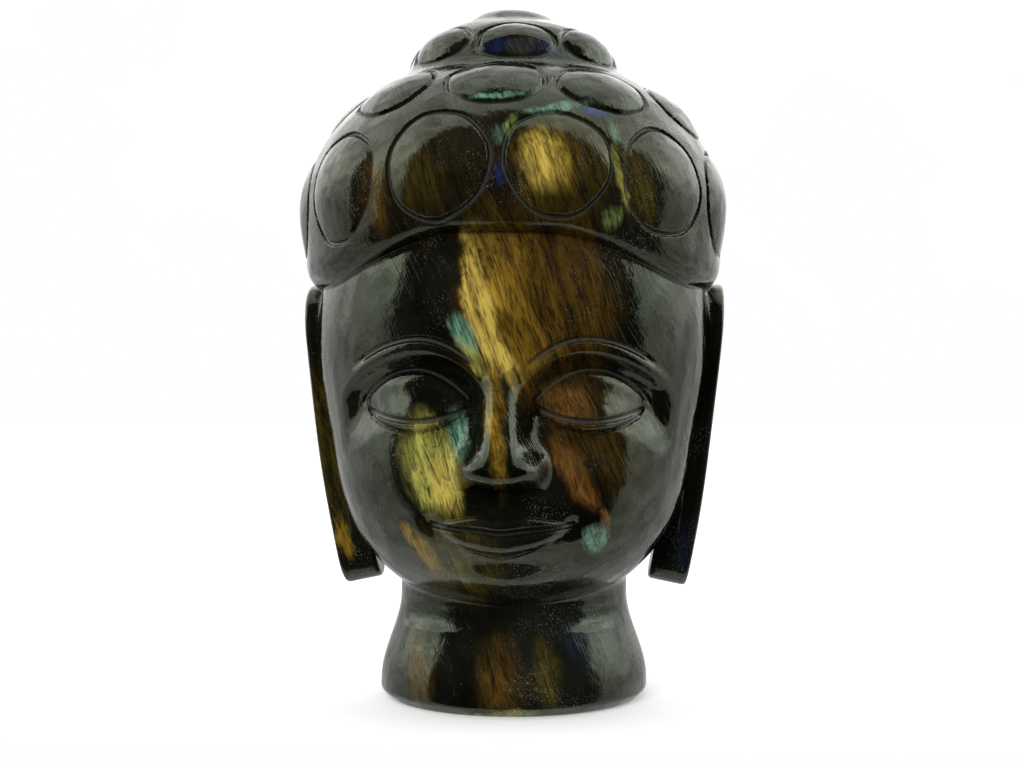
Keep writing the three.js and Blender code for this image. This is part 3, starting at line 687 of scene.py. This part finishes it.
def mix(tree, share, a, b):
    made = node(tree, "ShaderNodeMix", {0: share}, data_type="RGBA")
    for socket, value in ((made.inputs[6], a), (made.inputs[7], b)):
        if isinstance(value, bpy.types.NodeSocket):
            tree.links.new(value, socket)
        else:
            socket.default_value = (*value, 1)
    return made.outputs[2]


def drift(tree, place, scale, reach):
    """Coordinates pushed about by a slow noise."""
    push = noise(tree, place, scale, DRIFT_NOISE.detail, DRIFT_NOISE.roughness).outputs["Color"]
    push = vector_node(tree, "SUBTRACT", {0: push, 1: (0.5, 0.5, 0.5)})
    push = vector_node(tree, "SCALE", {0: push, "Scale": 2 * reach})
    return vector_node(tree, "ADD", {0: place, 1: push})


def lamellae(tree, place, lean, scale, detail):
    """Straight sheets of uneven thickness that lean in the view of the face, as a value about one half."""
    across = node(tree, "ShaderNodeSeparateXYZ", {0: stretched(tree, place, lean, (1, 1, 1))}).outputs["X"]
    sockets = {"W": across, "Scale": scale, "Detail": detail, "Roughness": SHEETS.roughness}
    return node(tree, "ShaderNodeTexNoise", sockets, noise_dimensions="1D").outputs["Fac"]


def crackle(tree, place, half):
    """Thin lines between the cells of a crazed surface."""
    sockets = {"Vector": place, "Scale": 1.0}
    cells = node(tree, "ShaderNodeTexVoronoi", sockets, feature="DISTANCE_TO_EDGE").outputs["Distance"]
    return spread(tree, cells, 0.0, half, 1.0, 0.0)


def crystals(tree, place):
    """A chance value between 0 and 1 for each of the leaning blocks that the stone has grown in."""
    sockets = {"Vector": stretched(tree, place, GRAIN.lean, BLOCKS.size), "Scale": 1.0}
    blocks = node(tree, "ShaderNodeTexVoronoi", sockets).outputs["Color"]
    return node(tree, "ShaderNodeSeparateColor", {0: blocks}).outputs["Red"]


def patchy(tree, place, kind):
    """Where a slow noise is over a kind's low value, rising to 1 at its high value."""
    return spread(tree, noise(tree, place, kind.scale, kind.detail).outputs["Fac"], kind.low, kind.high)


def stone_cracks(tree, place, drifted, bent):
    """Broken straight fissures along the grain, and crazing in worn places."""
    sheets = lamellae(tree, bent, FISSURES.lean, FISSURES.scale, FISSURES.detail)
    off_middle = math_node(tree, "ABSOLUTE", math_node(tree, "SUBTRACT", sheets, 0.5))
    fissures = spread(tree, off_middle, 0.0, FISSURES.half, 1.0, 0.0)
    fissures = math_node(tree, "MULTIPLY", fissures, patchy(tree, drifted, BROKEN))
    crazing = crackle(tree, stretched(tree, bent, CRAZING.lean, CRAZING.size), CRAZING.half)
    crazing = math_node(tree, "MULTIPLY", crazing, patchy(tree, place, WORN))
    return math_node(tree, "MAXIMUM", fissures, crazing)


def stone_grain(tree, bent, streaks, cracks):
    """How strongly the painted sheen of the flashes shows through the leaning grain."""
    sheets = lamellae(tree, bent, GRAIN.lean, SHEETS.scale, SHEETS.detail)
    streaks = math_node(tree, "MULTIPLY", streaks, STREAKS.share)
    grain = math_node(tree, "ADD", streaks, math_node(tree, "MULTIPLY", sheets, SHEETS.share))
    grain = spread(tree, grain, GRAIN.low, GRAIN.high, GRAIN.dark, GRAIN.light)
    broad = noise(tree, stretched(tree, bent, GRAIN.lean, BROAD.size), 1.0, BROAD.detail).outputs["Fac"]
    broad = spread(tree, broad, BROAD.low, BROAD.high, BROAD.dark, BROAD.light)
    grain = math_node(tree, "MULTIPLY", grain, broad)
    blocks = spread(tree, crystals(tree, bent), 0.0, 1.0, BLOCKS.dark, BLOCKS.light)
    grain = math_node(tree, "MULTIPLY", grain, blocks)
    return math_node(tree, "MULTIPLY", grain, spread(tree, cracks, 0.0, 1.0, 1.0, CRACKS.shade))


def strokes(tree, place, kind):
    value = noise(tree, stretched(tree, place, kind.lean, kind.size), 1.0, 1, 0.5).outputs["Fac"]
    return spread(tree, value, kind.low, kind.high)


def painted_scratch_glints(tree, place):
    """Short scratches in two directions, in drifts, with their glint painted in as bright colour."""
    steep = strokes(tree, place, STEEP_SCRATCH_GLINTS)
    shallow = strokes(tree, place, SHALLOW_SCRATCH_GLINTS)
    glinting_scratches = math_node(tree, "MAXIMUM", steep, shallow)
    return math_node(tree, "MULTIPLY", glinting_scratches, patchy(tree, place, SCRATCH_GLINT_DRIFTS))


def painted_back_sheen(tree, place, drifted, grain, colour):
    """Painted sheen on the sides and back: flashes of labradorescence as fixed colour, where they lie by
    chance.
    """
    y = node(tree, "ShaderNodeSeparateXYZ", {0: place}).outputs["Y"]
    behind = spread(tree, y, BACK.first, BACK.full, 0.0, BACK.strength, smooth=True)
    hue = noise(tree, drifted, BACK_HUE.scale, BACK_HUE.detail).outputs["Fac"]
    sheen_colour = mix(tree, spread(tree, hue, BACK_HUE.blue, BACK_HUE.teal), BLUE, TEAL)
    sheen_colour = mix(tree, spread(tree, hue, BACK_HUE.teal, BACK_HUE.olive), sheen_colour, OLIVE)
    sheen_colour = mix(tree, spread(tree, hue, BACK_HUE.olive, BACK_HUE.gold), sheen_colour, GOLD)
    sheet = stretched(tree, drifted, GRAIN.lean, BACK_SHEET.size)
    sheet = noise(tree, sheet, 1.0, BACK_SHEET.detail).outputs["Fac"]
    share = math_node(tree, "MULTIPLY", spread(tree, sheet, BACK_SHEET.low, BACK_SHEET.high), behind)
    return mix(tree, math_node(tree, "MULTIPLY", share, grain, clamp=True), colour, sheen_colour)


def painted_front_sheen(tree, drifted, grain, colour):
    # Each patch paints a flash of labradorescence, a reflection, as fixed colour: a painted sheen.
    for patch in FRONT_SHEEN_PATCHES:
        middle = (patch.x, FRONT.y, patch.z)
        local = stretched(tree, drifted, patch.lean, (patch.rx, FRONT.ry, patch.rz), middle)
        reach = node(tree, "ShaderNodeVectorMath", {0: local}, operation="LENGTH").outputs["Value"]
        share = spread(tree, reach, 1 + patch.soft, 1 - patch.soft, 0.0, patch.strength, smooth=True)
        share = math_node(tree, "MULTIPLY", share, grain, clamp=True)
        colour = mix(tree, share, colour, patch.colour)
    return colour


def make_stone():
    stone = bpy.data.materials.new("labradorite")
    stone.use_nodes = True
    tree = stone.node_tree
    shader = tree.nodes["Principled BSDF"]
    metres = node(tree, "ShaderNodeTexCoord").outputs["Object"]
    place = vector_node(tree, "SCALE", {0: metres, "Scale": 1 / METRE})
    drifted = drift(tree, place, SLOW_DRIFT.scale, SLOW_DRIFT.reach)
    drifted = drift(tree, drifted, QUICK_DRIFT.scale, QUICK_DRIFT.reach)
    bent = drift(tree, place, BEND.scale, BEND.reach)

    streaks = stretched(tree, bent, GRAIN.lean, STREAKS.size)
    streaks = noise(tree, streaks, 1.0, STREAKS.detail, STREAKS.roughness).outputs["Fac"]
    cracks = stone_cracks(tree, place, drifted, bent)
    grain = stone_grain(tree, bent, streaks, cracks)
    glinting_scratches = painted_scratch_glints(tree, place)
    cut = node(tree, "ShaderNodeAttribute", attribute_name="cut").outputs["Fac"]
    foot = spread(tree, cut, CUT_FOOT.low, CUT_FOOT.high)

    clouds = noise(tree, drifted, CLOUDS.scale, CLOUDS.detail, CLOUDS.roughness).outputs["Fac"]
    colour = mix(tree, spread(tree, clouds, CLOUDS.low, CLOUDS.high), BODY_DARK, BODY_LIGHT)
    # Painted sheen: the flashes of labradorescence, as fixed colour on the sides, back and front.
    colour = painted_back_sheen(tree, place, drifted, grain, colour)
    colour = painted_front_sheen(tree, drifted, grain, colour)
    # Painted glints: the scratches are real wear, their brightness a painted highlight.
    colour = mix(tree, math_node(tree, "MULTIPLY", glinting_scratches, SCRATCH_GLINT_DRIFTS.strength), colour, SCRATCH_GLINT)
    colour = mix(tree, math_node(tree, "MULTIPLY", foot, CUT_FOOT.share), colour, CUT_GREY)
    tree.links.new(colour, shader.inputs["Base Color"])

    wear = noise(tree, place, POLISH.scale, POLISH.detail, POLISH.roughness).outputs["Fac"]
    rough = spread(tree, wear, POLISH.low, POLISH.high, POLISH.smooth, POLISH.dull)
    rough = math_node(tree, "ADD", rough, math_node(tree, "MULTIPLY", foot, CUT_FOOT.rough))
    tree.links.new(rough, shader.inputs["Roughness"])

    wavy = noise(tree, place, BUMP.scale, BUMP.detail).outputs["Fac"]
    ground = math_node(tree, "ADD", wavy, math_node(tree, "MULTIPLY", streaks, BUMP.streaks))
    ground = math_node(tree, "SUBTRACT", ground, math_node(tree, "MULTIPLY", cracks, CRACKS.depth))
    sockets = {"Strength": 1.0, "Distance": BUMP.distance, "Height": ground}
    tree.links.new(node(tree, "ShaderNodeBump", sockets).outputs[0], shader.inputs["Normal"])
    shader.inputs["IOR"].default_value = POLISH.ior
    shader.inputs["Specular Tint"].default_value = POLISH_TINT
    return stone


head = make_head()
head.data.materials.append(make_stone())
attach(head, "root")
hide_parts("stone_head")

# The stage, in metres: a white floor under the head in a white tent, with a dark opening round the camera.
# Angles of the opening and the roof are in degrees. The floor takes the shadow, is kept out of the polish
# and ends just before the head, so that it throws no light up at the face.
CAMERA = Sizes(azimuth=math.radians(3.5), distance=0.290, height=0.0543, aside=-0.0003)
LENS = Sizes(length=58.0, sensor=36.0, near=0.01)
OPENING = Sizes(azimuth=math.radians(4.0), edge=75, full=81, dark=0.018)
TENT = Sizes(left=2.1, right=2.2, low=0.3, far=0.9, roof=0.55, roof_edge=60, roof_full=30)
WALLS = Sizes(sides=0.9, far=-0.9, far_full=-0.2, low=-0.1, low_full=0.5)
FOLDS = Sizes(scale=7.0, detail=3, low=0.35, high=0.65, light=1.4, dark=0.6)
KEY = Sizes(place=(-0.12, -0.62, 0.30), aim=(0, 0, 0.055), size=0.4, watts=3.6)
FLOOR = Sizes(front=-0.045, back=2.0, half=2.0, white=0.85, rough=0.9, glow=0.3)


def make_floor():
    corners = [
        (-FLOOR.half, FLOOR.front, 0),
        (FLOOR.half, FLOOR.front, 0),
        (FLOOR.half, FLOOR.back, 0),
        (-FLOOR.half, FLOOR.back, 0),
    ]
    sheet = bpy.data.meshes.new("floor")
    sheet.from_pydata(corners, [], [(0, 1, 2, 3)])
    floor = bpy.data.objects.new("floor", sheet)
    floor.visible_glossy = False
    bpy.context.collection.objects.link(floor)
    paper = bpy.data.materials.new("white_paper")
    paper.use_nodes = True
    shader = paper.node_tree.nodes["Principled BSDF"]
    shader.inputs["Base Color"].default_value = (FLOOR.white, FLOOR.white, FLOOR.white, 1)
    shader.inputs["Roughness"].default_value = FLOOR.rough
    shader.inputs["Emission Color"].default_value = (1, 1, 1, 1)
    shader.inputs["Emission Strength"].default_value = FLOOR.glow
    sheet.materials.append(paper)


def along(tree, direction, axis):
    """How far a direction points along an axis, from -1 to 1."""
    sockets = {0: direction, 1: axis}
    return node(tree, "ShaderNodeVectorMath", sockets, operation="DOT_PRODUCT").outputs["Value"]


def make_light():
    world = bpy.data.worlds.new("tent")
    bpy.context.scene.world = world
    world.use_nodes = True
    tree = world.node_tree
    direction = node(tree, "ShaderNodeTexCoord").outputs["Generated"]
    front = (math.sin(OPENING.azimuth), -math.cos(OPENING.azimuth), 0)
    right = (math.cos(OPENING.azimuth), math.sin(OPENING.azimuth), 0)
    facing = along(tree, direction, front)
    walls = spread(tree, along(tree, direction, right), -WALLS.sides, WALLS.sides, TENT.left, TENT.right)
    back = spread(tree, facing, WALLS.far, WALLS.far_full, TENT.far, 1.0, smooth=True)
    walls = math_node(tree, "MULTIPLY", walls, back)
    limits = [math.cos(math.radians(angle)) for angle in (TENT.roof_edge, TENT.roof_full)]
    up = along(tree, direction, (0, 0, 1))
    roof = spread(tree, up, *limits, 1.0, TENT.roof, smooth=True)
    walls = math_node(tree, "MULTIPLY", walls, roof)
    low = spread(tree, up, WALLS.low, WALLS.low_full, TENT.low, 1.0, smooth=True)
    walls = math_node(tree, "MULTIPLY", walls, low)
    folds = noise(tree, direction, FOLDS.scale, FOLDS.detail).outputs["Fac"]
    folds = spread(tree, folds, FOLDS.low, FOLDS.high, FOLDS.dark, FOLDS.light)
    walls = math_node(tree, "MULTIPLY", walls, folds)
    limits = [math.cos(math.radians(angle)) for angle in (OPENING.edge, OPENING.full)]
    opening = spread(tree, facing, *limits, OPENING.dark, 1.0, smooth=True)
    light = math_node(tree, "MULTIPLY", walls, opening)
    seen = node(tree, "ShaderNodeLightPath").outputs["Is Camera Ray"]
    light = math_node(tree, "MAXIMUM", light, seen)
    tree.links.new(light, tree.nodes["Background"].inputs["Strength"])
    tree.nodes["Background"].inputs["Color"].default_value = (1, 1, 1, 1)
    make_key()


def make_key():
    """A soft lamp before the head that wakes the flashes and is kept out of the polish."""
    lamp = bpy.data.lights.new("key", "AREA")
    lamp.size = KEY.size
    lamp.energy = KEY.watts
    key = bpy.data.objects.new("key", lamp)
    key.location = KEY.place
    key.rotation_euler = (Vector(KEY.aim) - Vector(KEY.place)).to_track_quat("-Z", "Y").to_euler()
    key.visible_glossy = False
    bpy.context.collection.objects.link(key)


def make_camera():
    lens = bpy.data.cameras.new("camera")
    lens.lens = LENS.length
    lens.sensor_width = LENS.sensor
    lens.clip_start = LENS.near
    camera = bpy.data.objects.new("camera", lens)
    side, front = math.sin(CAMERA.azimuth), -math.cos(CAMERA.azimuth)
    x = CAMERA.distance * side - CAMERA.aside * front
    y = CAMERA.distance * front + CAMERA.aside * side
    camera.location = (x, y, CAMERA.height)
    camera.rotation_euler = (math.pi / 2, 0, CAMERA.azimuth)
    bpy.context.collection.objects.link(camera)
    bpy.context.scene.camera = camera


make_floor()
make_light()
make_camera()
bpy.context.scene.view_settings.view_transform = "Standard"
